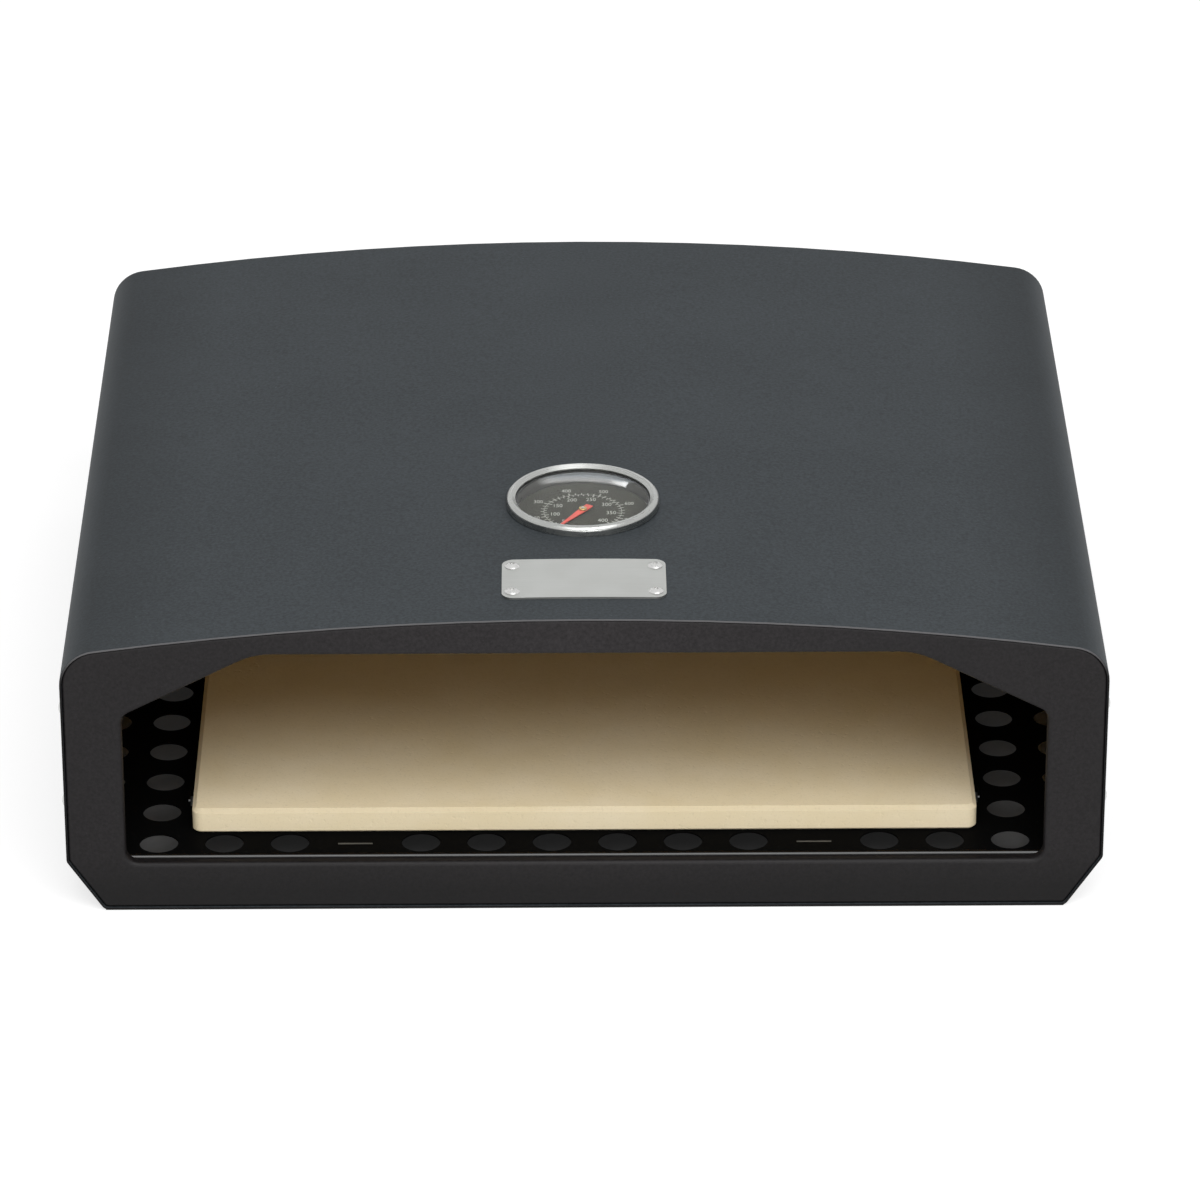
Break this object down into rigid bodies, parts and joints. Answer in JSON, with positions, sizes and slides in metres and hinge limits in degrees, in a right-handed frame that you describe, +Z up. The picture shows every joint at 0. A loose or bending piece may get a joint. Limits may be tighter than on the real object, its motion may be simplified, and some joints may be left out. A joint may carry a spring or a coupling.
{
  "type": "portable pizza oven",
  "caption": "Sheet-metal pizza oven with an arched roof, a wide open mouth, a perforated floor with a loose square baking stone, and a dial thermometer in the roof.",
  "frame": {"origin": "middle of the footprint, on the ground", "axes": "+Z up, -Y out of the mouth, +X to the right as seen from the front"},
  "size_m": [0.4022, 0.36, 0.1292],
  "materials": {
    "shell_coat": "fine textured powder coat, bare inside",
    "panel_coat": "fine textured powder coat",
    "floor_enamel": "gloss enamel",
    "bracket_steel": "plain",
    "stone": "matt, fired",
    "badge_steel": "satin",
    "rivet_metal": "plain",
    "bezel_steel": "polished",
    "gauge_steel": "plain",
    "gasket_rubber": "matt",
    "lens_glass": "clear",
    "dial_coat": "matt print",
    "hub_brass": "plain",
    "pointer_coat": "matt"
  },
  "bodies": {
    "oven": {"outer_shell": "shell_coat", "front_panel": "panel_coat", "rear_panel": "panel_coat", "floor_plate": "floor_enamel", "floor_hems": "floor_enamel", "stone_guides": "floor_enamel", "floor_bracket_front_left": "bracket_steel", "floor_bracket_front_right": "bracket_steel", "floor_bracket_rear_left": "bracket_steel", "floor_bracket_rear_right": "bracket_steel", "badge_plate": "badge_steel", "badge_rivets": "rivet_metal", "front_panel_rivets": "rivet_metal", "rear_panel_rivets": "rivet_metal", "gauge_bezel": "bezel_steel", "gauge_cup": "gauge_steel", "lens_gasket": "gasket_rubber", "gauge_lens": "lens_glass", "dial_plate": "dial_coat", "stem_collar": "gauge_steel", "stem_tube": "gauge_steel", "stem_plug": "gauge_steel", "spindle_bush": "hub_brass", "bimetal_coil": "gauge_steel", "clamp_bridge": "gauge_steel", "clamp_nut": "gauge_steel"},
    "stone": {"pizza_stone": "stone"},
    "pointer": {"pointer_needle": "pointer_coat", "pointer_hub": "hub_brass", "pointer_spindle": "gauge_steel"}
  },
  "joints": [
    {"name": "stone_slide", "type": "slide", "parent": "oven", "child": "stone", "axis": [0, -1, 0], "range_m": [0, 0.34]},
    {"name": "pointer_turn", "type": "hinge", "parent": "oven", "child": "pointer", "pos_m": [0, -0.0794, 0.12], "axis": [0, 0, -1], "range_deg": [-12, 285], "stiffness_Nm_per_rad": 0.00002}
  ]
}
